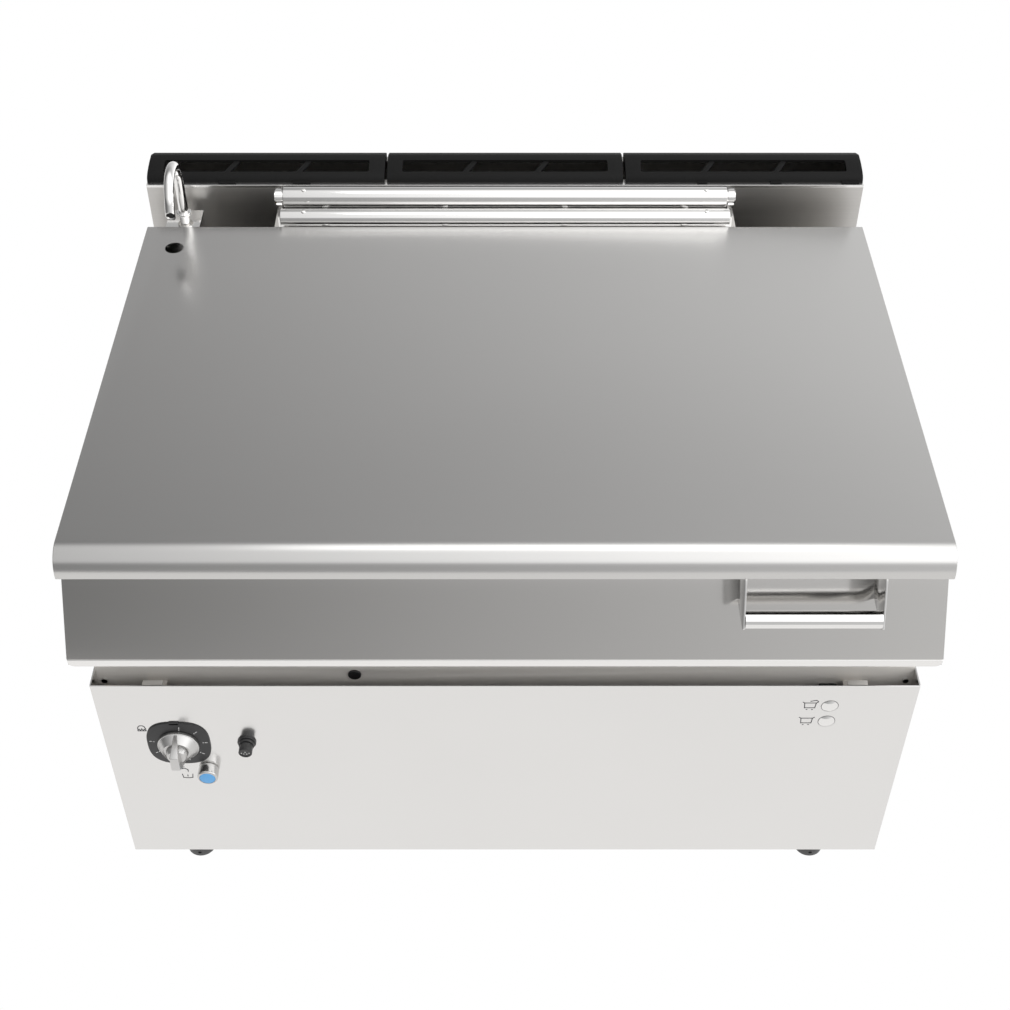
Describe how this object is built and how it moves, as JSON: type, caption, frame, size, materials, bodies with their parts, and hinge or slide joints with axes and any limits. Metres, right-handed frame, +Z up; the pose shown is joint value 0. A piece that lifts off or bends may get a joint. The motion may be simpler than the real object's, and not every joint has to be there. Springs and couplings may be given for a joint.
{
  "type": "tilting bratt pan",
  "caption": "Free-standing gas tilting bratt pan: a rectangular vessel on trunnions with a hinged handled lid, a fill spout and a rear flue.",
  "frame": {"origin": "centre of the footprint's bounding box, on the floor", "axes": "+X to the right seen from the front, +Y from the front panel to the flue, +Z up"},
  "size_m": [1.2, 0.968, 0.9693],
  "materials": {
    "panel_steel": "satin",
    "duct_steel": "brushed",
    "frame_steel": "matte",
    "lid_steel": "satin",
    "apron_steel": "satin",
    "bright_steel": "polished",
    "chrome": "polished",
    "knob_silver": "satin",
    "cast_black": "matte enamel",
    "black_plastic": "matte",
    "brass": "satin",
    "drive_paint": "satin",
    "box_steel": "satin",
    "blue_plastic": "gloss",
    "ceramic": "glazed",
    "mineral_board": "fibrous",
    "spreader_steel": "matte",
    "foot_dark": "matte"
  },
  "bodies": {
    "base": {"front_panel": "panel_steel", "cross_panel": "panel_steel", "cable_plug": "black_plastic", "side_panel_left": "panel_steel", "side_panel_right": "panel_steel", "rear_panel": "panel_steel", "bottom_tray": "frame_steel", "base_frame": "frame_steel", "leg_sleeves": "bright_steel", "bearing_blocks": "frame_steel", "tilt_gearmotor": "drive_paint", "rotary_union": "brass", "water_pipe": "brass", "flue_duct": "duct_steel", "flue_grille_left": "cast_black", "flue_grille_centre": "cast_black", "flue_grille_right": "cast_black", "burner_tray": "duct_steel", "burners": "duct_steel", "gas_manifold": "brass", "gas_valve": "brass", "igniter_collar": "black_plastic", "igniter_electrode": "ceramic", "water_ring": "chrome", "water_valve": "brass", "tilt_switches": "black_plastic", "terminal_box": "box_steel", "knob_bezel": "black_plastic", "panel_screws": "bright_steel"},
    "pan": {"pan_vessel": "apron_steel", "heat_spreader": "spreader_steel", "pan_rim": "apron_steel", "pan_apron": "apron_steel", "pan_casing": "apron_steel", "pan_insulation": "mineral_board", "pan_frame": "frame_steel", "trunnion_left": "bright_steel", "trunnion_right": "bright_steel", "hinge_base": "bright_steel", "hinge_shaft": "bright_steel", "fill_spout": "chrome", "spout_collar": "chrome", "feed_pipe": "chrome"},
    "lid": {"lid_skin": "lid_steel", "lid_stiffener": "lid_steel", "lid_handle": "bright_steel", "hinge_sleeve": "bright_steel", "lid_rear_tube": "bright_steel"},
    "knob": {"gas_knob": "knob_silver"},
    "igniter": {"igniter_button": "black_plastic"},
    "water_button": {"water_cap": "blue_plastic"},
    "tilt_up": {"tilt_button_up": "knob_silver"},
    "tilt_down": {"tilt_button_down": "knob_silver"},
    "foot_a": {"foot_front_left": "foot_dark"},
    "foot_b": {"foot_front_right": "foot_dark"},
    "foot_c": {"foot_rear_left": "foot_dark"},
    "foot_d": {"foot_rear_right": "foot_dark"}
  },
  "joints": [
    {"name": "pan_tilt", "type": "hinge", "parent": "base", "child": "pan", "pos_m": [0, -0.349, 0.575], "axis": [1, 0, 0], "range_deg": [0, 80]},
    {"name": "lid_open", "type": "hinge", "parent": "pan", "child": "lid", "pos_m": [0, 0.366, 0.875], "axis": [-1, 0, 0], "range_deg": [0, 60]},
    {"name": "gas_knob_turn", "type": "hinge", "parent": "base", "child": "knob", "pos_m": [-0.489, -0.416, 0.419], "axis": [0, -1, 0], "range_deg": [0, 270]},
    {"name": "igniter_press", "type": "slide", "parent": "base", "child": "igniter", "axis": [0, 1, 0], "range_m": [0, 0.003], "stiffness_N_per_m": 400, "springref_m": -0.002},
    {"name": "water_press", "type": "slide", "parent": "base", "child": "water_button", "axis": [0, 1, 0], "range_m": [0, 0.003], "stiffness_N_per_m": 400, "springref_m": -0.002},
    {"name": "tilt_up_press", "type": "slide", "parent": "base", "child": "tilt_up", "axis": [0, 1, 0], "range_m": [0, 0.003], "stiffness_N_per_m": 400, "springref_m": -0.002},
    {"name": "tilt_down_press", "type": "slide", "parent": "base", "child": "tilt_down", "axis": [0, 1, 0], "range_m": [0, 0.003], "stiffness_N_per_m": 400, "springref_m": -0.002},
    {"name": "foot_turn_front_left", "type": "hinge", "parent": "base", "child": "foot_a", "pos_m": [-0.524, -0.311, 0], "axis": [0, 0, 1], "continuous": true},
    {"name": "foot_turn_front_right", "type": "hinge", "parent": "base", "child": "foot_b", "pos_m": [0.524, -0.311, 0], "axis": [0, 0, 1], "continuous": true},
    {"name": "foot_turn_rear_left", "type": "hinge", "parent": "base", "child": "foot_c", "pos_m": [-0.524, 0.379, 0], "axis": [0, 0, 1], "continuous": true},
    {"name": "foot_turn_rear_right", "type": "hinge", "parent": "base", "child": "foot_d", "pos_m": [0.524, 0.379, 0], "axis": [0, 0, 1], "continuous": true}
  ]
}
